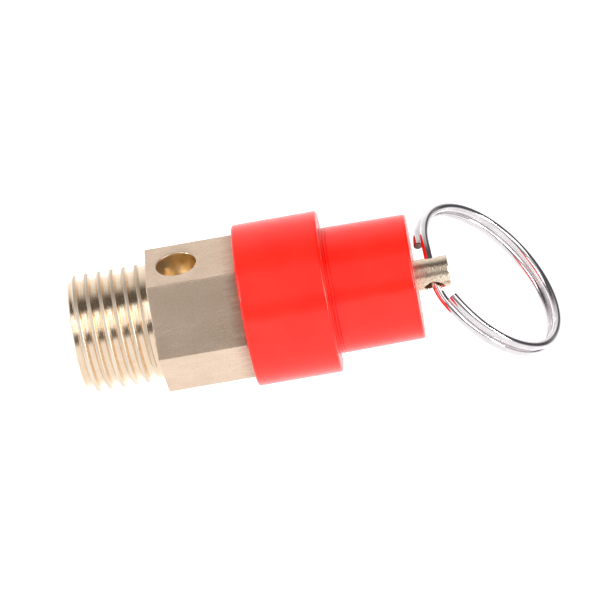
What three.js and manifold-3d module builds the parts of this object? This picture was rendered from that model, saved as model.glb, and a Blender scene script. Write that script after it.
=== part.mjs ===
// Spring-loaded pressure relief valve with a pull ring.
// Millimetres, +Z up along the valve's axis, from the threaded inlet to the pull stem.
// The origin is on the axis at the hexagon's shoulder, the face that meets the port.
import * as THREE from "three";
import { mergeVertices } from "three/addons/utils/BufferGeometryUtils.js";
import Module from "manifold-3d";

const wasm = await Module();
wasm.setup();

// ---- driving dimensions ----
const HEX_FLATS = 14;
const HEX_HEIGHT = 10;
const THREAD_LENGTH = 9;
const THREAD_MAJOR_R = 6.6;
const THREAD_PITCH = 1.411;
const THREAD_DEPTH = 0.6;
const THREAD_RUNOUT = 0.9;
const THREAD_CHAMFER = 0.75;
const INLET_R = 3;
const VENT_R = 2.25;
const VENT_Z = 3.5;
const VENT_AZIMUTH = 30;
const CHAMBER_R = 4.2;
const SCREW_CHAMBER_R = 5.6;
const NECK_R = 6.9;
const NECK_TOP = 16.5;
const COLLAR_R = 9.1;
const COLLAR_HEIGHT = 9.6;
const CAP_BASE_R = 7.1;
const CAP_TOP_R = 7;
const CAP_HEIGHT = 9.7;
const STEM_R = 1.75;
const STEM_PROJECTION = 3.8;
const STEM_HOLE_R = 1.1;
const STEM_HOLE_RISE = 1.9;
const STEM_HOLE_AZIMUTH = -20.2;
const RING_WIRE_R = 0.485;
const RING_R = 9.84;
const RING_COIL_SPACING = 1.15;
const RING_START = 20.8;
const RING_END = 694.2;
const RING_JOG = 20;
const RING_AZIMUTH = -15.65;
const RING_LEAN = 53.1;
const RING_CANT = -21.7;
const FIT = 0.05;
const LOOSE_FIT = 0.15;

// ---- levels and inner sizes ----
const COLLAR_TOP = HEX_HEIGHT + COLLAR_HEIGHT;
const CAP_TOP = COLLAR_TOP + CAP_HEIGHT;
const STEM_TOP = CAP_TOP + STEM_PROJECTION;
const STEM_HOLE_Z = CAP_TOP + STEM_HOLE_RISE;
const THREAD_ROOT_R = THREAD_MAJOR_R - THREAD_DEPTH;
const THREAD_CREST = 0.38;
const THREAD_FOOT = 0.2;
const FLANK_ANGLE = 20;
const RUNOUT_R = THREAD_MAJOR_R - 0.15;
const RELIEF_R = THREAD_MAJOR_R + 0.15;
const RELIEF_DEPTH = 0.12;
const CHAMBER_FLOOR = 0.6;
const SCREW_CHAMBER_FLOOR = 8.5;
const SEAT_TOP = 1.1;
const SEAT_LIP = 0.5;
const SEAT_OUTER_R = 4.05;
const SEAT_BOTTOM = -1.2;
const POPPET_R = 4;
const POPPET_BOTTOM = 1.4;
const POPPET_SHOULDER = 4.2;
const POPPET_TOP = 7;
const BOSS_R = 2.5;
const SEAL_R = 3.5;
const SEAL_BOTTOM = SEAT_TOP + FIT;
const SEAL_TOP = SEAL_BOTTOM + 1.45;
const SEAL_HOLE_R = 1;
const SEAL_SCREW_TOP = 3.6;
const PIN_R = 0.5;
const PIN_LENGTH = 4.6;
const PIN_Z = 5.6;
const STEM_BOTTOM = 4.15;
const SPRING_MEAN_R = 3.25;
const SPRING_WIRE_R = 0.45;
const SPRING_TURNS = 7;
const SPRING_BOTTOM = 4.9;
const SPRING_TOP = 17;
const SPRING_CLOSED_ENDS = 0.45;
const SPRING_SEAT_THICKNESS = 0.6;
const LOWER_SEAT_R = 3.9;
const UPPER_SEAT_R = 4.5;
const SCREW_R = SCREW_CHAMBER_R - 2 * FIT;
const SCREW_BOTTOM = 11.5;
const SCREW_TOP = 26.6;
const SCREW_SKIRT_R = 4.6;
const SCREW_WEB = 17.7;
const SCREW_BORE_R = STEM_R + 0.2;
const SLOT_WIDTH = 1.2;
const SLOT_DEPTH = 1;
const O_RING_R = 2.55;
const O_RING_SECTION_R = 0.55;
const O_RING_Z = 25;
const CLIP_Z = 22.6;
const CLIP_R = 5.35;
const CLIP_SECTION_R = 0.4;
const CLIP_GAP = 2.4;
const NUT_FLATS = 12.6;
const NUT_BOTTOM = NECK_TOP + 0.1;
const NUT_TOP = 19.2;
const CAP_ROOF = 1.6;
const TAU = 2 * Math.PI;
// How far a cutting tool runs past the face that it cuts.
const PAST = 1;

// ---- materials ----
function metal(name, colour, roughness) {
  return new THREE.MeshStandardMaterial({ name, color: colour, roughness, metalness: 1 });
}
function plastic(name, colour, roughness) {
  return new THREE.MeshStandardMaterial({ name, color: colour, roughness, metalness: 0 });
}
const brass = metal("brass", 0xcdb28a, 0.35);
const stemBrass = metal("stem_brass", 0xb5a584, 0.4);
const springSteel = metal("spring_steel", 0x8f9296, 0.35);
const ringSteel = metal("ring_steel", 0xc9cbd0, 0.15);
const redPlastic = plastic("red_plastic", 0xff3524, 0.3);
const rubber = plastic("black_rubber", 0x1b1b1c, 0.8);

// ---- shape helpers ----
const rad = THREE.MathUtils.degToRad;

// A solid of revolution about Z from (radius, height) points that run round its section.
function turned(points, segments = 40) {
  const profile = points.map(([r, z]) => new THREE.Vector2(r, z));
  if (points[0][0] > 0) profile.push(profile[0].clone());
  const geometry = new THREE.LatheGeometry(profile, segments);
  return geometry.rotateX(Math.PI / 2);
}

function cylinder(radius, z0, z1, segments = 32) {
  return turned([[0, z0], [radius, z0], [radius, z1], [0, z1]], segments);
}

function tube(inner, outer, z0, z1, segments = 40) {
  return turned([[inner, z0], [outer, z0], [outer, z1], [inner, z1]], segments);
}

// A cylinder of the given length centred on the axis at height z, lying at an azimuth.
function crossRod(radius, length, z, azimuth, segments = 20) {
  const rod = new THREE.CylinderGeometry(radius, radius, length, segments);
  return rod.rotateZ(-Math.PI / 2).rotateZ(rad(azimuth)).translate(0, 0, z);
}

// A regular polygon whose first corner is on the X axis.
function polygon(sides, cornerRadius) {
  const corners = [];
  for (let i = 0; i < sides; i += 1) {
    const angle = i * TAU / sides;
    corners.push(new THREE.Vector2(cornerRadius * Math.cos(angle), cornerRadius * Math.sin(angle)));
  }
  return new THREE.Shape(corners);
}

function hexPrism(flats, z0, z1) {
  const shape = polygon(6, flats / Math.sqrt(3));
  const prism = new THREE.ExtrudeGeometry(shape, { depth: z1 - z0, bevelEnabled: false });
  return prism.translate(0, 0, z0);
}

function solid(geometry) {
  const bare = geometry.clone();
  bare.deleteAttribute("normal");
  bare.deleteAttribute("uv");
  const merged = mergeVertices(bare, 1e-4);
  return new wasm.Manifold(new wasm.Mesh({
    numProp: 3,
    vertProperties: new Float32Array(merged.attributes.position.array),
    triVerts: new Uint32Array(merged.index.array),
  }));
}

function geometryOf(manifold) {
  const mesh = manifold.getMesh();
  const geometry = new THREE.BufferGeometry();
  geometry.setAttribute("position", new THREE.BufferAttribute(mesh.vertProperties, 3));
  geometry.setIndex(new THREE.BufferAttribute(mesh.triVerts, 1));
  geometry.computeVertexNormals();
  return geometry;
}

function cut(base, ...tools) {
  return geometryOf(tools.reduce((body, tool) => body.subtract(solid(tool)), solid(base)));
}

// A closed tube of round section along a path, with its section turned to match.
function wire(path, radius, steps, sides = 8) {
  const section = polygon(sides, radius);
  return new THREE.ExtrudeGeometry(section, { steps, extrudePath: path, bevelEnabled: false });
}

function torus(ringRadius, sectionRadius, z) {
  return new THREE.TorusGeometry(ringRadius, sectionRadius, 10, 32).translate(0, 0, z);
}

// ---- valve body ----
// The thread's ridge: a trapezoid swept round the core on a helix, with its foot inside the core.
function threadRidge(fromZ, toZ) {
  const stepsPerTurn = 32;
  const turns = (toZ - fromZ) / THREAD_PITCH;
  const steps = Math.round(turns * stepsPerTurn);
  const foot = THREAD_ROOT_R - THREAD_FOOT;
  const crestHalf = THREAD_CREST / 2;
  const footHalf = crestHalf + (THREAD_MAJOR_R - foot) * Math.tan(rad(FLANK_ANGLE));
  const section = [
    [foot, -footHalf], [THREAD_MAJOR_R, -crestHalf], [THREAD_MAJOR_R, crestHalf], [foot, footHalf],
  ];
  const positions = [];
  for (let i = 0; i <= steps; i += 1) {
    const angle = i * TAU / stepsPerTurn;
    const z = fromZ + i * THREAD_PITCH / stepsPerTurn;
    for (const [r, dz] of section) {
      positions.push(r * Math.cos(angle), r * Math.sin(angle), z + dz);
    }
  }
  const index = [];
  for (let i = 0; i < steps; i += 1) {
    for (let k = 0; k < 4; k += 1) {
      const a = 4 * i + k;
      const b = 4 * i + (k + 1) % 4;
      index.push(a, a + 4, b, b, a + 4, b + 4);
    }
  }
  const last = 4 * steps;
  index.push(0, 1, 2, 0, 2, 3);
  index.push(last, last + 2, last + 1, last, last + 3, last + 2);
  const geometry = new THREE.BufferGeometry();
  geometry.setAttribute("position", new THREE.Float32BufferAttribute(positions, 3));
  geometry.setIndex(index);
  return geometry;
}

function threadedSpigot() {
  const start = -THREAD_LENGTH;
  const core = solid(cylinder(THREAD_ROOT_R, start, PAST, 48));
  const plain = solid(cylinder(RUNOUT_R, -THREAD_RUNOUT, PAST, 48));
  const ridge = solid(threadRidge(start - THREAD_PITCH, THREAD_FOOT - THREAD_RUNOUT));
  const envelope = solid(turned([
    [0, start], [THREAD_MAJOR_R - THREAD_CHAMFER, start], [THREAD_MAJOR_R, start + THREAD_CHAMFER],
    [THREAD_MAJOR_R, PAST], [0, PAST],
  ], 48));
  return core.add(ridge).add(plain).intersect(envelope);
}

function valveBody() {
  const relief = solid(cylinder(RELIEF_R, -PAST, RELIEF_DEPTH, 48));
  const hex = solid(hexPrism(HEX_FLATS, 0, HEX_HEIGHT)).subtract(relief);
  const neck = solid(cylinder(NECK_R, HEX_HEIGHT - PAST, NECK_TOP, 48));
  const seatPocket = SEAT_OUTER_R + FIT;
  const bore = solid(turned([
    [0, -THREAD_LENGTH - PAST], [INLET_R, -THREAD_LENGTH - PAST], [INLET_R, SEAT_BOTTOM - FIT],
    [seatPocket, SEAT_BOTTOM - FIT], [seatPocket, CHAMBER_FLOOR], [CHAMBER_R, CHAMBER_FLOOR],
    [CHAMBER_R, SCREW_CHAMBER_FLOOR], [SCREW_CHAMBER_R, SCREW_CHAMBER_FLOOR],
    [SCREW_CHAMBER_R, NECK_TOP + PAST], [0, NECK_TOP + PAST],
  ], 40));
  const vents = solid(crossRod(VENT_R, 3 * HEX_FLATS, VENT_Z, VENT_AZIMUTH, 24));
  return geometryOf(threadedSpigot().add(hex).add(neck).subtract(bore).subtract(vents));
}

function seatBushing() {
  const lipOuter = INLET_R + SEAT_LIP;
  return turned([
    [INLET_R, SEAT_BOTTOM], [SEAT_OUTER_R, SEAT_BOTTOM], [SEAT_OUTER_R, CHAMBER_FLOOR],
    [lipOuter, CHAMBER_FLOOR], [lipOuter, SEAT_TOP], [INLET_R, SEAT_TOP],
  ]);
}

// ---- moving core ----
function poppet() {
  const recessR = SEAL_R + FIT;
  const recessTop = SEAL_TOP + FIT;
  const screwR = SEAL_HOLE_R - FIT;
  const screwTop = SEAL_SCREW_TOP + 2 * FIT;
  const body = turned([
    [0, screwTop], [screwR, screwTop], [screwR, recessTop], [recessR, recessTop],
    [recessR, POPPET_BOTTOM], [POPPET_R, POPPET_BOTTOM], [POPPET_R, POPPET_SHOULDER],
    [BOSS_R, POPPET_SHOULDER], [BOSS_R, POPPET_TOP], [STEM_R + FIT, POPPET_TOP],
    [STEM_R + FIT, STEM_BOTTOM - FIT], [0, STEM_BOTTOM - FIT],
  ]);
  return cut(body, crossRod(PIN_R + FIT, 3 * BOSS_R, PIN_Z, 0, 12));
}

function sealDisc() {
  return tube(SEAL_HOLE_R, SEAL_R, SEAL_BOTTOM, SEAL_TOP);
}

function sealScrew() {
  const headR = 1.9;
  const headTop = SEAL_BOTTOM - FIT;
  const headBottom = headTop - 0.7;
  const edge = 0.2;
  const slotWidth = 0.5;
  const slotDepth = 0.3;
  const shankR = SEAL_HOLE_R - 2 * FIT;
  const body = turned([
    [0, headBottom], [headR - edge, headBottom], [headR, headBottom + edge],
    [headR, headTop], [shankR, headTop], [shankR, SEAL_SCREW_TOP], [0, SEAL_SCREW_TOP],
  ], 24);
  const slot = new THREE.BoxGeometry(3 * headR, slotWidth, 2 * slotDepth).translate(0, 0, headBottom);
  return cut(body, slot);
}

function pullStem() {
  const edge = 0.12;
  const body = turned([
    [0, STEM_BOTTOM], [STEM_R, STEM_BOTTOM], [STEM_R, STEM_TOP - edge],
    [STEM_R - edge, STEM_TOP], [0, STEM_TOP],
  ], 32);
  const ringHole = crossRod(STEM_HOLE_R, 4 * STEM_R, STEM_HOLE_Z, STEM_HOLE_AZIMUTH);
  const pinHole = crossRod(PIN_R + FIT, 4 * STEM_R, PIN_Z, 0, 12);
  return cut(body, ringHole, pinHole);
}

function stemPin() {
  return crossRod(PIN_R, PIN_LENGTH, PIN_Z, 0, 12);
}

function springSeat(z, innerR, outerR) {
  return tube(innerR, outerR, z, z + SPRING_SEAT_THICKNESS, 32);
}

class CoilPath extends THREE.Curve {
  getPoint(t, target = new THREE.Vector3()) {
    const angle = t * SPRING_TURNS * TAU;
    const low = SPRING_BOTTOM + SPRING_WIRE_R;
    const high = SPRING_TOP - SPRING_WIRE_R;
    const rise = THREE.MathUtils.lerp(t, THREE.MathUtils.smoothstep(t, 0, 1), SPRING_CLOSED_ENDS);
    return target.set(
      SPRING_MEAN_R * Math.cos(angle),
      SPRING_MEAN_R * Math.sin(angle),
      low + (high - low) * rise,
    );
  }
}

function reliefSpring() {
  return wire(new CoilPath(), SPRING_WIRE_R, SPRING_TURNS * 14, 6);
}

// ---- adjusting and locking ----
function adjustingScrew() {
  const grooveR = CLIP_R - CLIP_SECTION_R - FIT;
  const grooveHalf = CLIP_SECTION_R + FIT;
  const pocketR = O_RING_R + O_RING_SECTION_R + FIT;
  const pocketFloor = O_RING_Z - O_RING_SECTION_R - FIT;
  const chamfer = 0.4;
  const body = turned([
    [SCREW_BORE_R, SCREW_WEB], [SCREW_SKIRT_R, SCREW_WEB], [SCREW_SKIRT_R, SCREW_BOTTOM],
    [SCREW_R, SCREW_BOTTOM], [SCREW_R, CLIP_Z - grooveHalf], [grooveR, CLIP_Z - grooveHalf],
    [grooveR, CLIP_Z + grooveHalf], [SCREW_R, CLIP_Z + grooveHalf], [SCREW_R, SCREW_TOP - chamfer],
    [SCREW_R - chamfer, SCREW_TOP], [pocketR, SCREW_TOP], [pocketR, pocketFloor], [SCREW_BORE_R, pocketFloor],
  ]);
  const slot = new THREE.BoxGeometry(4 * SCREW_R, SLOT_WIDTH, 2 * SLOT_DEPTH).translate(0, 0, SCREW_TOP);
  return cut(body, slot);
}

function lockNut() {
  const hex = hexPrism(NUT_FLATS, NUT_BOTTOM, NUT_TOP);
  return cut(hex, cylinder(SCREW_R + FIT, NUT_BOTTOM - PAST, NUT_TOP + PAST, 40));
}

function stemSeal() {
  return torus(O_RING_R, O_RING_SECTION_R, O_RING_Z);
}

function capClip() {
  const ring = torus(CLIP_R, CLIP_SECTION_R, CLIP_Z);
  const gap = new THREE.BoxGeometry(2 * CLIP_R, CLIP_GAP, 4 * CLIP_SECTION_R).translate(CLIP_R, 0, CLIP_Z);
  return cut(ring, gap);
}

// ---- red covers ----
function collar() {
  const edge = 0.25;
  const innerR = NECK_R + LOOSE_FIT;
  const nutRoomR = NUT_FLATS / Math.sqrt(3) + LOOSE_FIT;
  const nutRoomTop = NUT_TOP + 2 * FIT;
  const mouthR = CAP_BASE_R + 2 * FIT;
  return turned([
    [innerR, HEX_HEIGHT + FIT], [COLLAR_R, HEX_HEIGHT + FIT], [COLLAR_R, COLLAR_TOP - edge],
    [COLLAR_R - edge, COLLAR_TOP], [mouthR, COLLAR_TOP], [mouthR, nutRoomTop],
    [nutRoomR, nutRoomTop], [nutRoomR, NECK_TOP], [innerR, NECK_TOP],
  ], 48);
}

function cap() {
  const edge = 0.3;
  const base = NUT_TOP + 2 * FIT;
  const boreR = SCREW_R + LOOSE_FIT;
  const stemHoleR = STEM_R + 0.35;
  const roof = CAP_TOP - CAP_ROOF;
  const grooveR = CLIP_R + CLIP_SECTION_R + LOOSE_FIT;
  const grooveHalf = CLIP_SECTION_R + LOOSE_FIT;
  return turned([
    [boreR, base], [CAP_BASE_R, base], [CAP_BASE_R, COLLAR_TOP], [CAP_TOP_R, CAP_TOP - edge],
    [CAP_TOP_R - edge, CAP_TOP], [stemHoleR, CAP_TOP], [stemHoleR, roof], [boreR, roof],
    [boreR, CLIP_Z + grooveHalf], [grooveR, CLIP_Z + grooveHalf], [grooveR, CLIP_Z - grooveHalf],
    [boreR, CLIP_Z - grooveHalf],
  ], 48);
}

// ---- pull ring ----
// A split ring of nearly two turns. Angles run round it from the stem's cross hole, where
// the wire jogs from the front coil to the rear one, so only one strand is in the hole.
class SplitRingPath extends THREE.Curve {
  getPoint(t, target = new THREE.Vector3()) {
    const angle = RING_START + t * (RING_END - RING_START);
    const across = THREE.MathUtils.clamp((angle - 360) / RING_JOG, -1, 1);
    const offset = RING_COIL_SPACING / 2 * (1.5 * across - 0.5 * across ** 3);
    return target.set(
      RING_R * Math.sin(rad(angle)),
      offset,
      RING_R * (1 - Math.cos(rad(angle))),
    );
  }
}

function splitRing() {
  return wire(new SplitRingPath(), RING_WIRE_R, 96, 8);
}

// ---- assembly ----
const valve = new THREE.Group();

function add(parent, name, geometry, material) {
  const mesh = new THREE.Mesh(geometry, material);
  mesh.name = name;
  parent.add(mesh);
  return mesh;
}

add(valve, "valve_body", valveBody(), brass);
add(valve, "seat_bushing", seatBushing(), brass);
add(valve, "poppet", poppet(), brass);
add(valve, "seal_disc", sealDisc(), rubber);
add(valve, "seal_screw", sealScrew(), brass);
add(valve, "pull_stem", pullStem(), stemBrass);
add(valve, "stem_pin", stemPin(), springSteel);
add(valve, "lower_spring_seat", springSeat(POPPET_SHOULDER + FIT, BOSS_R + FIT, LOWER_SEAT_R), springSteel);
add(valve, "relief_spring", reliefSpring(), springSteel);
add(valve, "upper_spring_seat", springSeat(SPRING_TOP + FIT, SCREW_BORE_R + FIT, UPPER_SEAT_R), springSteel);
add(valve, "adjusting_screw", adjustingScrew(), brass);
add(valve, "lock_nut", lockNut(), brass);
add(valve, "stem_seal", stemSeal(), rubber);
add(valve, "cap_clip", capClip(), springSteel);
add(valve, "collar", collar(), redPlastic);
add(valve, "cap", cap(), redPlastic);

// The ring hangs in the stem's cross hole: turned about the stem, leaned back and canted.
const ringTurn = new THREE.Group();
ringTurn.position.z = STEM_HOLE_Z;
ringTurn.rotation.z = rad(RING_AZIMUTH);
const ringLean = new THREE.Group();
ringLean.rotation.x = rad(-RING_LEAN);
const ringCant = new THREE.Group();
ringCant.rotation.z = rad(RING_CANT);
add(ringCant, "split_ring", splitRing(), ringSteel);
ringLean.add(ringCant);
ringTurn.add(ringLean);
valve.add(ringTurn);

export default valve;
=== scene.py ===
"""Looks, light and camera for the pressure relief valve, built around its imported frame.

Metres, in the frame's axes: Z runs up the valve from the threaded inlet to the pull ring,
and the origin is on the axis at the hexagon's shoulder.
"""

import math

import bmesh
import bpy
from mathutils import Matrix, Quaternion, Vector, noise


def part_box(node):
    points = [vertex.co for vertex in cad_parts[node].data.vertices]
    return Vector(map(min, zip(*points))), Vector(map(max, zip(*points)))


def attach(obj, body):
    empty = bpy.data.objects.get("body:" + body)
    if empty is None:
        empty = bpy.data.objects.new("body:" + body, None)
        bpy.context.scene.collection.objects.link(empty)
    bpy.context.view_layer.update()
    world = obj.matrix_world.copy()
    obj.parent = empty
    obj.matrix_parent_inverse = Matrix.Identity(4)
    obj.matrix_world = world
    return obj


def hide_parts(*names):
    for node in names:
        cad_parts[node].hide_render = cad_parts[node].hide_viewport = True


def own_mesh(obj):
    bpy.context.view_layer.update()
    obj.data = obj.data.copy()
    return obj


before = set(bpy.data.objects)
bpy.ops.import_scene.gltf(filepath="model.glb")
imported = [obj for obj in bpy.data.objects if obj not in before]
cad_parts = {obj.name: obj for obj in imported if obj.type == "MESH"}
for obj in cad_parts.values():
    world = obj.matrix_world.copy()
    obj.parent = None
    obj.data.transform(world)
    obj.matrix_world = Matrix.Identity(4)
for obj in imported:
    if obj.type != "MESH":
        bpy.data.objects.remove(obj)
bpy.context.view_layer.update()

MM = 0.001
TAU = 2 * math.pi

# ---- sizes from the frame ----
body_low, body_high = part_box("valve_body")
collar_low, collar_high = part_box("collar")
cap_low, cap_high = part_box("cap")
stem_low, stem_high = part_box("pull_stem")
spring_low, spring_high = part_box("relief_spring")
seat_low, seat_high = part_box("seat_bushing")
HEX_HALF = body_high.y
HEX_TOP = 10 * MM
THREAD_END = body_low.z
NECK_TOP = body_high.z
COLLAR_R = collar_high.x
CAP_R = cap_high.x
CAP_TOP = cap_high.z
STEM_R = stem_high.x

# ---- sizes inside the solids, as the CAD has them ----
THREAD_R = 6.6 * MM
THREAD_DEPTH = 0.6 * MM
THREAD_PITCH = 1.411 * MM
THREAD_CREST = 0.38 * MM
FLANK_ANGLE = math.radians(20)
RUNOUT_R = 6.45 * MM
RUNOUT_Z = -0.9 * MM
RELIEF_R = 6.75 * MM
RELIEF_DEPTH = 0.12 * MM
INLET_R = 3 * MM
VENT_R = 2.25 * MM
VENT_Z = 3.5 * MM
VENT_AZIMUTH = math.radians(30)
CHAMBER_R = 4.2 * MM
CHAMBER_FLOOR = 0.6 * MM
SCREW_CHAMBER_R = 5.6 * MM
SCREW_CHAMBER_FLOOR = 8.5 * MM
SEAT_POCKET_R = 4.1 * MM
NECK_R = 6.9 * MM
CAP_TOP_R = 7 * MM
CAP_BORE_R = 5.65 * MM
CAP_ROOF = 27.7 * MM
STEM_HOLE_R = 1.1 * MM
STEM_HOLE_Z = 31.2 * MM
STEM_HOLE_AZIMUTH = math.radians(-20.2)
WIRE_R = 0.485 * MM
RING_R = 9.84 * MM
COIL_SPACING = 1.15 * MM
RING_START, RING_END, RING_JOG = 20.8, 694.2, 20
RING_AZIMUTH, RING_LEAN, RING_CANT = -15.65, 53.1, -21.7
SPRING_TURNS = 7

# ---- the photograph's viewing angle ----
VIEW_AZIMUTH = math.radians(-2.863)
VIEW_ELEVATION = math.radians(2.862)
VIEW_ROLL = math.radians(80.11)
VIEW_DISTANCE = 494.6 * MM
VIEW_CENTRE = Vector((0.43, 0, 16.18)) * MM
LENS_LENGTH = 266.2


# ---- mesh helpers ----
ON_AXIS = 1e-7
HAIR = 2e-6


def new_object(name, vertices, faces):
    mesh = bpy.data.meshes.new(name)
    mesh.from_pydata([tuple(v) for v in vertices], [], faces)
    bm = bmesh.new()
    bm.from_mesh(mesh)
    bmesh.ops.recalc_face_normals(bm, faces=bm.faces)
    bm.to_mesh(mesh)
    bm.free()
    obj = bpy.data.objects.new(name, mesh)
    bpy.context.scene.collection.objects.link(obj)
    return obj


def rounded(points, steps=5):
    """A closed outline of (radius, height) points, where a third number rounds that corner."""
    outline = []
    for i, point in enumerate(points):
        corner = Vector(point[:2])
        if len(point) == 2:
            outline.append(corner)
            continue
        before = (Vector(points[i - 1][:2]) - corner).normalized()
        after = (Vector(points[(i + 1) % len(points)][:2]) - corner).normalized()
        half = before.angle(after) / 2
        centre = corner + (before + after).normalized() * point[2] / math.sin(half)
        reach = point[2] / math.tan(half)
        start = (corner + before * reach - centre).normalized()
        end = (corner + after * reach - centre).normalized()
        outline += [centre + start.slerp(end, k / steps) * point[2] for k in range(steps + 1)]
    return outline


def skin(rings, loop=False):
    """Faces between rings of vertex numbers, which may repeat a number at a pole.

    A loop joins its last ring to its first. Otherwise both ends are closed.
    """
    faces = []
    pairs = list(zip(rings, rings[1:]))
    if loop:
        pairs.append((rings[-1], rings[0]))
    for a, b in pairs:
        for i in range(len(a)):
            j = (i + 1) % len(a)
            face = list(dict.fromkeys((a[i], a[j], b[j], b[i])))
            if len(face) > 2:
                faces.append(face)
    if not loop:
        faces += [list(rings[0]), list(rings[-1])]
    return faces


def lathe(name, outline, segments=128):
    """The solid that a closed outline sweeps round Z."""
    vertices, rings = [], []
    for radius, height in outline:
        if radius < ON_AXIS:
            rings.append([len(vertices)] * segments)
            vertices.append((0, 0, height))
            continue
        rings.append(range(len(vertices), len(vertices) + segments))
        for i in range(segments):
            angle = i * TAU / segments
            vertices.append((radius * math.cos(angle), radius * math.sin(angle), height))
    return new_object(name, vertices, skin([list(r) for r in rings], loop=True))


def sweep(name, centres, radii, sides=16):
    """A closed round wire along a line of points, with a radius at each."""
    vertices, rings = [], []
    across = None
    for i, centre in enumerate(centres):
        ahead = centres[min(i + 1, len(centres) - 1)]
        behind = centres[max(i - 1, 0)]
        along = (ahead - behind).normalized()
        across = along.orthogonal() if across is None else across
        across = (across - along * across.dot(along)).normalized()
        other = along.cross(across)
        rings.append(list(range(len(vertices), len(vertices) + sides)))
        for k in range(sides):
            angle = k * TAU / sides
            vertices.append(centre + (across * math.cos(angle) + other * math.sin(angle)) * radii[i])
    return new_object(name, vertices, skin(rings))


def combine(base, operation, *tools):
    """Joins solids to base, or cuts them from it. The tools are used up."""
    for tool in tools:
        modifier = base.modifiers.new(operation, "BOOLEAN")
        modifier.operation = operation
        modifier.solver = "MANIFOLD"
        modifier.object = tool
        evaluated = base.evaluated_get(bpy.context.evaluated_depsgraph_get())
        result = bpy.data.meshes.new_from_object(evaluated)
        base.modifiers.clear()
        base.data = result
        bpy.data.objects.remove(tool)
    return base


def lay(obj, azimuth, height):
    """Turns a solid made round Z so that its axis lies level at an azimuth."""
    obj.data.transform(
        Matrix.Translation((0, 0, height))
        @ Matrix.Rotation(azimuth, 4, "Z")
        @ Matrix.Rotation(math.pi / 2, 4, "Y")
    )
    return obj


def finished(obj, body, looks, node, crease=30):
    """Shades a piece, gives it its materials, and puts it on its body in place of a CAD node."""
    obj.data.shade_smooth()
    obj.data.set_sharp_from_angle(angle=math.radians(crease))
    normals = obj.modifiers.new("even_flats", "WEIGHTED_NORMAL")
    normals.keep_sharp = True
    obj.data.materials.clear()
    for look in looks:
        obj.data.materials.append(look)
    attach(obj, body)
    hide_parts(node)
    return obj


# ---- materials ----
class Look:
    """A material on the Principled shader, with short calls for the nodes its detail comes from."""

    def __init__(self, name, metallic, roughness):
        self.material = bpy.data.materials.new(name)
        self.material.use_nodes = True
        self.tree = self.material.node_tree
        self.shader = self.tree.nodes["Principled BSDF"]
        self.shader.inputs["Metallic"].default_value = metallic
        self.shader.inputs["Roughness"].default_value = roughness
        self.place = self.node("ShaderNodeTexCoord").outputs["Object"]

    def node(self, kind, inputs=(), **settings):
        made = self.tree.nodes.new(kind)
        for key, value in settings.items():
            setattr(made, key, value)
        for key, value in dict(inputs).items():
            if isinstance(value, bpy.types.NodeSocket):
                self.tree.links.new(value, made.inputs[key])
            else:
                made.inputs[key].default_value = value
        return made

    def grain(self, per_mm, detail=3):
        """Noise with so many cells per millimetre along X, Y and Z."""
        scale = [n / MM for n in per_mm]
        scaled = self.node("ShaderNodeMapping", {"Vector": self.place, "Scale": scale}).outputs[0]
        return self.node("ShaderNodeTexNoise", {"Vector": scaled, "Scale": 1, "Detail": detail}).outputs[0]

    def height(self):
        return self.node("ShaderNodeSeparateXYZ", {"Vector": self.place}).outputs["Z"]

    def remap(self, value, start, end, low, high):
        return self.node(
            "ShaderNodeMapRange",
            {"Value": value, "From Min": start, "From Max": end, "To Min": low, "To Max": high},
        ).outputs[0]

    def maths(self, operation, a, b):
        return self.node("ShaderNodeMath", {0: a, 1: b}, operation=operation).outputs[0]

    def mixed(self, share, first, second):
        made = self.node("ShaderNodeMix", {"Factor": share}, data_type="RGBA")
        for socket, value in ((made.inputs[6], first), (made.inputs[7], second)):
            if isinstance(value, bpy.types.NodeSocket):
                self.tree.links.new(value, socket)
            else:
                socket.default_value = (*value, 1)
        return made.outputs[2]

    def set(self, key, value):
        if isinstance(value, bpy.types.NodeSocket):
            self.tree.links.new(value, self.shader.inputs[key])
        else:
            self.shader.inputs[key].default_value = value

    def bump(self, *layers):
        """Layers are (height, depth in millimetres), one over another."""
        normal = None
        for height, depth in layers:
            inputs = {"Height": height, "Distance": depth * MM}
            if normal is not None:
                inputs["Normal"] = normal
            normal = self.node("ShaderNodeBump", inputs).outputs[0]
        self.set("Normal", normal)


def drawn_brass():
    look = Look("drawn_brass", 1, 0.38)
    lines = look.grain((10, 10, 0.6))
    grit = look.grain((5, 5, 4), 2)
    blotches = look.grain((0.5, 0.5, 0.3), 1)
    blotched = look.remap(blotches, 0.35, 0.65, 0, 1)
    tone = look.mixed(blotched, (0.84, 0.645, 0.49), (0.90, 0.70, 0.545))
    tone = look.mixed(look.remap(grit, 0.48, 0.72, 0, 0.45), tone, (0.62, 0.47, 0.34))
    tone = look.mixed(look.remap(lines, 0.55, 0.75, 0, 0.35), tone, (0.56, 0.42, 0.31))
    # Darker reddish brown in ragged streaks on the hexagon, growing towards the collar.
    streaks = look.grain((3.5, 3.5, 0.25), 4)
    ragged = look.maths("ADD", look.height(), look.remap(streaks, 0.3, 0.7, -0.6 * MM, 0.5 * MM))
    collar_side_darkening = look.remap(ragged, HEX_TOP - 1.5 * MM, HEX_TOP + 0.3 * MM, 0, 0.7)
    look.set("Base Color", look.mixed(collar_side_darkening, tone, (0.46, 0.22, 0.15)))
    look.set("Roughness", look.remap(lines, 0.3, 0.7, 0.34, 0.42))
    look.bump((lines, 0.010), (grit, 0.03))
    return look.material


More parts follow.
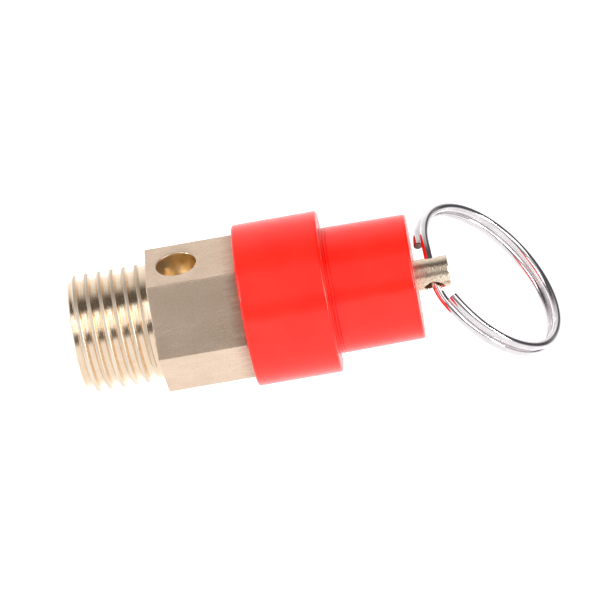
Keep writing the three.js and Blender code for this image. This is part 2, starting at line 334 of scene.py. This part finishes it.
def turned_brass():
    look = Look("turned_brass", 1, 0.15)
    rings = look.grain((0.03, 0.03, 5))
    grit = look.grain((2, 2, 4))
    patches = look.grain((0.9, 0.9, 0.9))
    tone = look.mixed(look.remap(patches, 0.35, 0.7, 0, 1), (0.95, 0.79, 0.62), (0.92, 0.72, 0.52))
    tone = look.mixed(look.remap(rings, 0.52, 0.7, 0, 0.3), tone, (0.78, 0.60, 0.44))
    look.set("Base Color", tone)
    look.set("Roughness", look.remap(grit, 0.3, 0.7, 0.22, 0.28))
    # Turning marks run round the axis and spread the light along it.
    look.set("Anisotropic", 0.95)
    look.set("Anisotropic Rotation", 0.25)
    look.set("Tangent", look.node("ShaderNodeTangent", direction_type="RADIAL", axis="Z").outputs[0])
    look.bump((rings, 0.02))
    return look.material


def crest_brass():
    look = Look("crest_brass", 1, 0.5)
    rings = look.grain((0.05, 0.05, 9))
    tone = look.mixed(look.remap(rings, 0.45, 0.6, 0, 1), (0.97, 0.85, 0.72), (0.84, 0.69, 0.54))
    look.set("Base Color", tone)
    look.set("Roughness", look.remap(rings, 0.3, 0.7, 0.45, 0.6))
    look.bump((rings, 0.02))
    return look.material


def bored_brass():
    look = Look("bored_brass", 1, 0.24)
    patches = look.grain((0.8, 0.8, 0.8), 2)
    grit = look.grain((6, 6, 6))
    tone = look.mixed(look.remap(patches, 0.35, 0.65, 0, 1), (1.0, 0.82, 0.57), (0.98, 0.76, 0.48))
    look.set("Base Color", tone)
    look.set("Roughness", look.remap(grit, 0.3, 0.7, 0.30, 0.38))
    look.bump((grit, 0.002))
    return look.material


def stem_brass():
    look = Look("stem_brass", 1, 0.3)
    grit = look.grain((5, 5, 5), 4)
    patches = look.grain((1.6, 1.6, 0.5))
    tone = look.mixed(look.remap(patches, 0.4, 0.65, 0, 1), (0.97, 0.84, 0.66), (0.84, 0.71, 0.54))
    tone = look.mixed(look.remap(grit, 0.52, 0.72, 0, 0.7), tone, (0.28, 0.21, 0.16))
    look.set("Base Color", tone)
    look.set("Roughness", look.remap(grit, 0.3, 0.7, 0.18, 0.34))
    look.bump((patches, 0.02), (grit, 0.03))
    return look.material


def polished_steel(name, colour, dull, roughness):
    look = Look(name, 1, roughness)
    haze = look.grain((0.8, 0.8, 0.8), 2)
    look.set("Base Color", look.mixed(look.remap(haze, 0.4, 0.7, 0, 1), colour, dull))
    look.set("Roughness", look.remap(haze, 0.3, 0.7, roughness * 0.8, roughness * 1.25))
    look.bump((haze, 0.004))
    return look.material


def red_plastic():
    look = Look("red_plastic", 0, 0.22)
    waves = look.grain((0.3, 0.3, 0.3), 1)
    pores = look.grain((3, 3, 3))
    wavy = look.remap(waves, 0.35, 0.65, 0, 1)
    look.set("Base Color", look.mixed(wavy, (0.93, 0.010, 0.002), (0.96, 0.014, 0.004)))
    look.set("Roughness", look.remap(pores, 0.3, 0.7, 0.20, 0.26))
    look.set("IOR", 1.5)
    look.set("Sheen Weight", 0.3)
    look.set("Sheen Roughness", 0.16)
    look.bump((waves, 0.04))
    return look.material


def rubber():
    look = Look("black_rubber", 0, 0.6)
    dust = look.grain((5, 5, 5))
    dusty = look.remap(dust, 0.4, 0.8, 0, 1)
    look.set("Base Color", look.mixed(dusty, (0.012, 0.012, 0.013), (0.05, 0.048, 0.045)))
    look.set("Roughness", look.remap(dust, 0.3, 0.7, 0.5, 0.75))
    look.bump((dust, 0.01))
    return look.material


DRAWN, TURNED, CREST, BORED = drawn_brass(), turned_brass(), crest_brass(), bored_brass()
BODY_LOOKS = (DRAWN, TURNED, BORED, CREST)
STEM_BRASS = stem_brass()
RING_STEEL = polished_steel("ring_steel", (0.88, 0.84, 0.85), (0.80, 0.76, 0.78), 0.13)
DARK_END_STEEL = polished_steel("dark_end_steel", (0.34, 0.24, 0.22), (0.18, 0.12, 0.11), 0.4)
SPRING_STEEL = polished_steel("spring_steel", (0.50, 0.51, 0.53), (0.33, 0.33, 0.35), 0.3)
RED = red_plastic()
RUBBER = rubber()


# ---- valve body ----
def hexagon(inset, wear):
    """Corner arcs of a hexagon whose flats lie inset from HEX_HALF, with a wear radius per corner."""
    points = []
    steps = 4
    for corner in range(6):
        radius = max(wear[corner] - inset, 0.01 * MM)
        distance = (HEX_HALF - inset - radius) / math.cos(TAU / 12)
        middle = corner * TAU / 6
        for k in range(steps + 1):
            angle = middle + (k / steps - 0.5) * TAU / 6
            points.append((
                distance * math.cos(middle) + radius * math.cos(angle),
                distance * math.sin(middle) + radius * math.sin(angle),
            ))
    return points


def hex_bar():
    """The hexagon, with its ends' edges broken and its corners worn a little unevenly."""
    edge, edge_steps = 0.1 * MM, 4
    levels = 90
    plain_wear, nick_wear, nick_level = 0.17, 0.22, 0.25
    corner_step, nicks_per_mm, noise_slice = 7.3, 2.6, 0.4
    turns = [k / edge_steps * TAU / 4 for k in range(edge_steps)]
    rim = [(edge * (1 - math.cos(turn)), edge * (1 - math.sin(turn))) for turn in turns]
    heights = rim + [(edge + (HEX_TOP - 2 * edge) * k / levels, 0) for k in range(levels + 1)]
    heights += [(HEX_TOP - z, inset) for z, inset in reversed(rim)]
    vertices, rings = [], []
    for z, inset in heights:
        wear = []
        for corner in range(6):
            nick = noise.noise(Vector((corner * corner_step, z / MM * nicks_per_mm, noise_slice)))
            wear.append((plain_wear + nick_wear * max(0, nick - nick_level)) * MM)
        section = hexagon(inset, wear)
        rings.append(list(range(len(vertices), len(vertices) + len(section))))
        vertices += [(x, y, z) for x, y in section]
    return new_object("hex_bar", vertices, skin(rings))


def thread_ridge():
    """A ridge swept round on a helix, past both ends of the thread."""
    steps_per_turn = 120
    into_runout = 0.2 * MM
    low, high = THREAD_END - THREAD_PITCH, RUNOUT_Z + into_runout
    steps = round((high - low) / THREAD_PITCH * steps_per_turn)
    # Each point has its depth under the crest, as a share of the thread's depth, and how many
    # millimetres it stands out from the straight flank.
    points = [
        (1.25, 0.10), (0.98, 0.04), (0.90, 0), (0.12, 0),
        (0.08, -0.005), (0.03, -0.025), (0.005, -0.06), (0, -0.08),
    ]
    section = []
    for depth, flare in points:
        half = THREAD_CREST / 2 + depth * THREAD_DEPTH * math.tan(FLANK_ANGLE) + flare * MM
        section.append((THREAD_R - depth * THREAD_DEPTH, -half))
    section += [(r, -z) for r, z in reversed(section)]
    vertices, rings = [], []
    for i in range(steps + 1):
        angle = i * TAU / steps_per_turn
        z = low + i * THREAD_PITCH / steps_per_turn
        rings.append(list(range(len(vertices), len(vertices) + len(section))))
        vertices += [(r * math.cos(angle), r * math.sin(angle), z + dz) for r, dz in section]
    return new_object("thread_ridge", vertices, skin(rings))


def body():
    shell = hex_bar()
    chamfer = 0.75 * MM
    root_r = THREAD_R - THREAD_DEPTH
    core = lathe("core", rounded([
        (0, THREAD_END), (root_r, THREAD_END), (root_r, HEX_TOP / 2), (0, HEX_TOP / 2),
    ]))
    runout = lathe("runout", rounded([
        (0, RUNOUT_Z), (RUNOUT_R, RUNOUT_Z, 0.12 * MM), (RUNOUT_R, HEX_TOP / 2), (0, HEX_TOP / 2),
    ]))
    envelope = lathe("envelope", rounded([
        (0, THREAD_END), (THREAD_R - chamfer, THREAD_END, 0.1 * MM),
        (THREAD_R, THREAD_END + chamfer, 0.1 * MM), (THREAD_R, HEX_TOP / 2), (0, HEX_TOP / 2),
    ]))
    spigot = combine(core, "UNION", thread_ridge(), runout)
    spigot = combine(spigot, "INTERSECT", envelope)
    neck = lathe("neck", rounded([
        (0, HEX_TOP / 2), (NECK_R, HEX_TOP / 2), (NECK_R, NECK_TOP, 0.3 * MM), (0, NECK_TOP),
    ]))
    past = 1 * MM
    bore = lathe("bore", rounded([
        (0, THREAD_END - past), (INLET_R + past, THREAD_END - past),
        (INLET_R + past, THREAD_END - HAIR), (INLET_R, THREAD_END - HAIR, 0.3 * MM),
        (INLET_R, seat_low.z), (SEAT_POCKET_R, seat_low.z), (SEAT_POCKET_R, CHAMBER_FLOOR),
        (CHAMBER_R, CHAMBER_FLOOR), (CHAMBER_R, SCREW_CHAMBER_FLOOR),
        (SCREW_CHAMBER_R, SCREW_CHAMBER_FLOOR), (SCREW_CHAMBER_R, NECK_TOP + past), (0, NECK_TOP + past),
    ]))
    flat = HEX_HALF + HAIR
    flare = VENT_R + past
    vents = lathe("vents", rounded([
        (0, -flat - past), (flare, -flat - past), (flare, -flat), (VENT_R, -flat, 0.14 * MM),
        (VENT_R, flat, 0.14 * MM), (flare, flat), (flare, flat + past), (0, flat + past),
    ]), 96)
    relief = lathe("relief", rounded([
        (0, -past), (RELIEF_R, -past), (RELIEF_R, RELIEF_DEPTH), (0, RELIEF_DEPTH),
    ]))
    combine(shell, "DIFFERENCE", relief)
    combine(shell, "UNION", spigot, neck)
    combine(shell, "DIFFERENCE", bore, lay(vents, VENT_AZIMUTH, VENT_Z))
    finished(shell, "root", BODY_LOOKS, "valve_body")
    shell.name = "machined_body"
    vent_axis = Vector((math.cos(VENT_AZIMUTH), math.sin(VENT_AZIMUTH), 0))
    near = 0.1 * MM
    facing_along = 0.7
    for face in shell.data.polygons:
        offset = face.center - Vector((0, 0, VENT_Z))
        from_vent = (offset - vent_axis * offset.dot(vent_axis)).length
        in_vent = from_vent < VENT_R + near and abs(face.normal.dot(vent_axis)) < facing_along
        from_axis = math.hypot(face.center.x, face.center.y)
        in_bore = from_axis < SCREW_CHAMBER_R + near and face.center.z > THREAD_END + near
        if in_vent or in_bore:
            face.material_index = BODY_LOOKS.index(BORED)
        elif face.center.z < 0:
            look = TURNED if from_axis < THREAD_R - near / 2 else CREST
            face.material_index = BODY_LOOKS.index(look)
    return shell


# ---- red covers ----
def collar():
    inner = NECK_R + 0.15 * MM
    mouth = CAP_R + 0.1 * MM
    nut_room = 7.4 * MM
    nut_top = 19.3 * MM
    shell = lathe("moulded_collar", rounded([
        (inner, collar_low.z, 0.15 * MM), (COLLAR_R, collar_low.z, 0.3 * MM),
        (COLLAR_R, collar_high.z, 0.3 * MM), (mouth, collar_high.z, 0.12 * MM),
        (mouth, nut_top), (nut_room, nut_top), (nut_room, NECK_TOP), (inner, NECK_TOP),
    ]), 192)
    return finished(shell, "root", (RED,), "collar")


def cap():
    bead = 0.08 * MM
    groove_r = 5.9 * MM
    clip_low, clip_high = 22.05 * MM, 23.15 * MM
    step, half_width = 0.33 * MM, 0.06 * MM
    stem_gap_r = STEM_R + 0.35 * MM
    base = [(CAP_BORE_R, cap_low.z), (CAP_R, cap_low.z)]
    for k in range(1, 3):
        z = collar_high.z + k * step
        base += [
            (CAP_R, z - half_width, 0.04 * MM), (CAP_R - bead, z, 0.03 * MM),
            (CAP_R, z + half_width, 0.04 * MM),
        ]
    shell = lathe("moulded_cap", rounded(base + [
        (CAP_TOP_R, CAP_TOP, 0.3 * MM), (stem_gap_r, CAP_TOP, 0.12 * MM), (stem_gap_r, CAP_ROOF),
        (CAP_BORE_R, CAP_ROOF), (CAP_BORE_R, clip_high), (groove_r, clip_high), (groove_r, clip_low),
        (CAP_BORE_R, clip_low),
    ]), 192)
    return finished(shell, "cap", (RED,), "cap")


# ---- pull stem and its ring ----
def stem():
    rod = lathe("drilled_stem", rounded([
        (0, stem_low.z), (STEM_R, stem_low.z, 0.1 * MM),
        (STEM_R, stem_high.z, 0.12 * MM), (0, stem_high.z),
    ]), 96)
    past = 1 * MM
    flare_depth = 0.25 * MM
    hole = lathe("hole", rounded([
        (0, -STEM_R - past), (STEM_HOLE_R + past, -STEM_R - past),
        (STEM_HOLE_R, -STEM_R + flare_depth, 0.3 * MM), (STEM_HOLE_R, STEM_R - flare_depth, 0.3 * MM),
        (STEM_HOLE_R + past, STEM_R + past), (0, STEM_R + past),
    ]), 64)
    pin_r, pin_z = 0.55 * MM, 5.6 * MM
    pin_hole = lathe("pin_hole", rounded([
        (0, -2 * STEM_R), (pin_r, -2 * STEM_R), (pin_r, 2 * STEM_R), (0, 2 * STEM_R),
    ]), 32)
    combine(rod, "DIFFERENCE", lay(hole, STEM_HOLE_AZIMUTH, STEM_HOLE_Z), lay(pin_hole, 0, pin_z))
    return finished(rod, "stem", (STEM_BRASS,), "pull_stem")


def ring():
    """A split ring of nearly two turns, whose wire jogs from one coil to the other in the stem's hole."""
    place = (
        Matrix.Translation((0, 0, STEM_HOLE_Z))
        @ Matrix.Rotation(math.radians(RING_AZIMUTH), 4, "Z")
        @ Matrix.Rotation(math.radians(-RING_LEAN), 4, "X")
        @ Matrix.Rotation(math.radians(RING_CANT), 4, "Z")
    )
    steps = 420
    bevel = 0.08 * MM
    centres, radii = [], []
    span = math.radians(RING_END - RING_START) * RING_R
    stations = [0, bevel * 0.3, bevel]
    stations += [bevel + (span - 2 * bevel) * k / steps for k in range(1, steps)]
    stations += [span - bevel, span - bevel * 0.3, span]
    for station in stations:
        angle = RING_START + math.degrees(station / RING_R)
        across = max(-1, min(1, (angle - 360) / RING_JOG))
        offset = COIL_SPACING / 2 * (1.5 * across - 0.5 * across ** 3)
        turn = math.radians(angle)
        centres.append(place @ Vector((RING_R * math.sin(turn), offset, RING_R * (1 - math.cos(turn)))))
        from_end = min(station, span - station)
        radii.append(WIRE_R - max(0, bevel - from_end) ** 2 / bevel)
    wire = sweep("sprung_ring", centres, radii, 24)
    # The wire's lower end, by the cap, is coloured a darker reddish brown.
    looks = (RING_STEEL, DARK_END_STEEL)
    finished(wire, "ring", looks, "split_ring")
    lower_end = min(centres[0], centres[-1], key=lambda end: end.z)
    for face in wire.data.polygons:
        if (face.center - lower_end).length < WIRE_R:
            face.material_index = looks.index(DARK_END_STEEL)
    return wire


# ---- what shows through the vents and the inlet ----
def seat():
    lip = INLET_R + 0.5 * MM
    bush = lathe("seat_insert", rounded([
        (INLET_R, seat_low.z, 0.1 * MM), (seat_high.x, seat_low.z), (seat_high.x, CHAMBER_FLOOR),
        (lip, CHAMBER_FLOOR), (lip, seat_high.z, 0.1 * MM), (INLET_R, seat_high.z, 0.1 * MM),
    ]), 96)
    return finished(bush, "root", (BORED,), "seat_bushing")


def spring():
    """The relief spring, wound between the ends of its CAD box. It is built at one length, though it
    shortens in the valve as the stem is pulled.
    """
    steps_per_turn = 48
    eased = 0.45
    steps = SPRING_TURNS * steps_per_turn
    wire_r = 0.45 * MM
    mean_r = spring_high.x - wire_r
    low, high = spring_low.z + wire_r, spring_high.z - wire_r
    centres = []
    for i in range(steps + 1):
        t = i / steps
        rise = eased * t * t * (3 - 2 * t) + (1 - eased) * t
        angle = t * SPRING_TURNS * TAU
        z = low + (high - low) * rise
        centres.append(Vector((mean_r * math.cos(angle), mean_r * math.sin(angle), z)))
    coil = sweep("wound_spring", centres, [wire_r] * (steps + 1), 12)
    finished(coil, "root", (SPRING_STEEL,), "relief_spring")
    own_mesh(coil)
    return coil


body()
collar()
cap()
stem()
ring()
seat()
spring()

NODE_LOOKS = {
    "poppet": BORED, "seal_screw": BORED, "adjusting_screw": TURNED, "lock_nut": DRAWN,
    "stem_pin": SPRING_STEEL, "lower_spring_seat": SPRING_STEEL, "upper_spring_seat": SPRING_STEEL,
    "cap_clip": SPRING_STEEL, "seal_disc": RUBBER, "stem_seal": RUBBER,
}
for node, look in NODE_LOOKS.items():
    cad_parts[node].data.materials.clear()
    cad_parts[node].data.materials.append(look)


# ---- camera ----
back = Vector((
    math.sin(VIEW_AZIMUTH) * math.cos(VIEW_ELEVATION),
    -math.cos(VIEW_AZIMUTH) * math.cos(VIEW_ELEVATION),
    math.sin(VIEW_ELEVATION),
))
camera = bpy.data.objects.new("camera", bpy.data.cameras.new("camera"))
bpy.context.scene.collection.objects.link(camera)
camera.data.lens = LENS_LENGTH
camera.data.clip_start, camera.data.clip_end = 0.01, 100
camera.rotation_mode = "QUATERNION"
camera.rotation_quaternion = (-back).to_track_quat("-Z", "Y") @ Quaternion((0, 0, 1), VIEW_ROLL)
camera.location = VIEW_CENTRE + back * VIEW_DISTANCE
bpy.context.scene.camera = camera
picture_up = camera.rotation_quaternion @ Vector((0, 1, 0))
picture_right = camera.rotation_quaternion @ Vector((1, 0, 0))


# ---- studio ----
def floor():
    half = 20
    corners = [(-half, -half), (half, -half), (half, half), (-half, half)]
    plane = new_object("floor", [(x, y, THREAD_END) for x, y in corners], [(0, 1, 2, 3)])
    look = Look("pale_floor", 0, 0.6)
    look.set("Base Color", (0.9, 0.9, 0.9, 1))
    look.set("Emission Color", (1, 1, 1, 1))
    look.set("Emission Strength", 0.7)
    plane.data.materials.append(look.material)
    plane.visible_glossy = False


# Brightness round the valve's axis, by the angle in degrees from the camera to the picture's top.
SURROUND = (
    (-180, 1.15), (-150, 1.3), (-120, 1.05), (-26, 1.0), (-21, 0.1), (-4, 0.1), (-1, 0.5),
    (42, 0.5), (48, 0.1), (72, 0.1), (100, 0.75), (135, 1.1), (160, 1.2), (180, 1.15),
)
DIM = (0.08, 0.08, 0.09, 1)
BACKDROP = (1.1, 1.1, 1.1, 1)
PANEL_DISTANCE = 0.6


def surround():
    world = bpy.data.worlds.new("studio")
    bpy.context.scene.world = world
    world.use_nodes = True
    nodes, links = world.node_tree.nodes, world.node_tree.links
    background = nodes["Background"]
    direction = nodes.new("ShaderNodeTexCoord").outputs["Generated"]

    def along(axis):
        dot = nodes.new("ShaderNodeVectorMath")
        dot.operation = "DOT_PRODUCT"
        links.new(direction, dot.inputs[0])
        dot.inputs[1].default_value = axis
        return dot.outputs["Value"]

    angle = nodes.new("ShaderNodeMath")
    angle.operation = "ARCTAN2"
    links.new(along(picture_up), angle.inputs[0])
    links.new(along(back), angle.inputs[1])
    share = nodes.new("ShaderNodeMapRange")
    share.inputs["From Min"].default_value = -math.pi
    share.inputs["From Max"].default_value = math.pi
    links.new(angle.outputs[0], share.inputs["Value"])
    ramp = nodes.new("ShaderNodeValToRGB")
    links.new(share.outputs[0], ramp.inputs["Fac"])
    stops = ramp.color_ramp.elements
    for degrees, _ in SURROUND[1:-1]:
        stops.new((degrees + 180) / 360)
    for stop, (_, level) in zip(stops, SURROUND):
        stop.color = (level, level, level, 1)
    # It is dim to the right and above, between the camera's side and the far side.
    dim = None
    dim_ranges = (
        (picture_right, 0.2, 0.45), (picture_up, -0.3, 0.1), (back, -0.8, -0.5), (back, 0.75, 0.6),
    )
    for axis, start, end in dim_ranges:
        edge = nodes.new("ShaderNodeMapRange")
        edge.inputs["From Min"].default_value = start
        edge.inputs["From Max"].default_value = end
        links.new(along(axis), edge.inputs["Value"])
        if dim is None:
            dim = edge.outputs[0]
            continue
        both = nodes.new("ShaderNodeMath")
        both.operation = "MULTIPLY"
        links.new(dim, both.inputs[0])
        links.new(edge.outputs[0], both.inputs[1])
        dim = both.outputs[0]
    shaded = nodes.new("ShaderNodeMix")
    shaded.data_type = "RGBA"
    links.new(dim, shaded.inputs["Factor"])
    links.new(ramp.outputs["Color"], shaded.inputs[6])
    shaded.inputs[7].default_value = DIM
    seen = nodes.new("ShaderNodeLightPath").outputs["Is Camera Ray"]
    plain = nodes.new("ShaderNodeMix")
    plain.data_type = "RGBA"
    links.new(seen, plain.inputs["Factor"])
    links.new(shaded.outputs[2], plain.inputs[6])
    plain.inputs[7].default_value = BACKDROP
    links.new(plain.outputs[2], background.inputs["Color"])


def soft_box(name, sideways, lift, width, height, level):
    """A light panel that faces the valve, placed by its angles from the camera to the right and up."""
    sideways, lift = math.radians(sideways), math.radians(lift)
    level_with_camera = back * math.cos(sideways) + picture_right * math.sin(sideways)
    away = level_with_camera * math.cos(lift) + picture_up * math.sin(lift)
    across = picture_up.cross(away).normalized()
    light = bpy.data.lights.new(name, "AREA")
    light.shape = "RECTANGLE"
    light.size, light.size_y = width, height
    light.energy = level * math.pi * width * height
    panel = bpy.data.objects.new(name, light)
    bpy.context.scene.collection.objects.link(panel)
    axes = Matrix((across, away.cross(across), away)).transposed().to_4x4()
    panel.matrix_world = Matrix.Translation(VIEW_CENTRE + away * PANEL_DISTANCE) @ axes


floor()
surround()
for side, sign in (("right", 1), ("left", -1)):
    soft_box(side + "_panel", 38 * sign, 17, 0.36, 0.40, 2.7)
    soft_box(side + "_lamp", 66 * sign, 4, 0.12, 0.24, 22)

settings = bpy.context.scene.view_settings
settings.view_transform = "Standard"
settings.look = "None"
